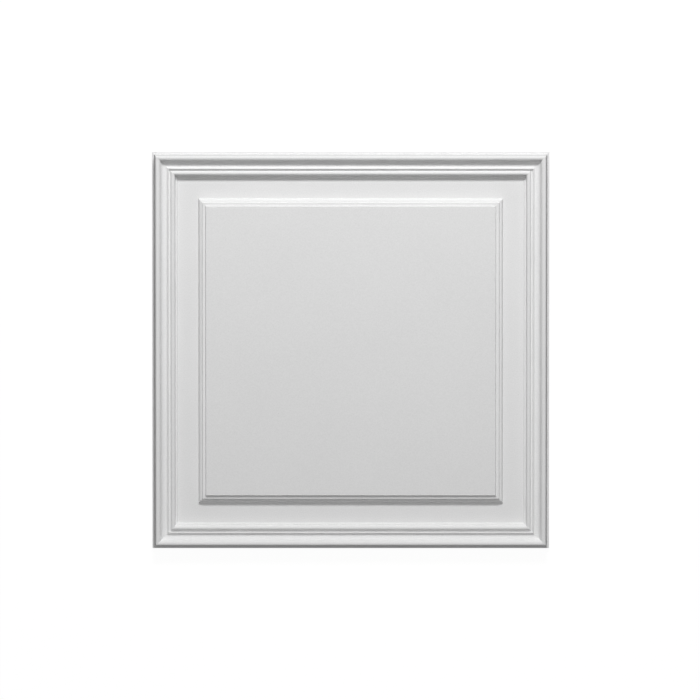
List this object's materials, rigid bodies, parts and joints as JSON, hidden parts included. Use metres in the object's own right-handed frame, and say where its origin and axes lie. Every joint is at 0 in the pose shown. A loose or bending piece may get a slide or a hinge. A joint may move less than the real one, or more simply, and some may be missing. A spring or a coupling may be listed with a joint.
{
  "type": "decorative wall panel",
  "caption": "Square moulded wall panel with a mitred frame moulding, a flat margin and a stepped raised field, glued by its flat back to a wall or door.",
  "frame": {"origin": "middle of the flat back face, which the panel lies on", "axes": "+Z out of the moulded face, +Y towards the panel's top edge as hung, +X to the right seen from the face"},
  "size_m": [0.435, 0.435, 0.017],
  "materials": {
    "primed_polyurethane": "matte white primer on rigid polyurethane foam"
  },
  "bodies": {
    "root": {"panel": "primed_polyurethane"}
  },
  "joints": []
}
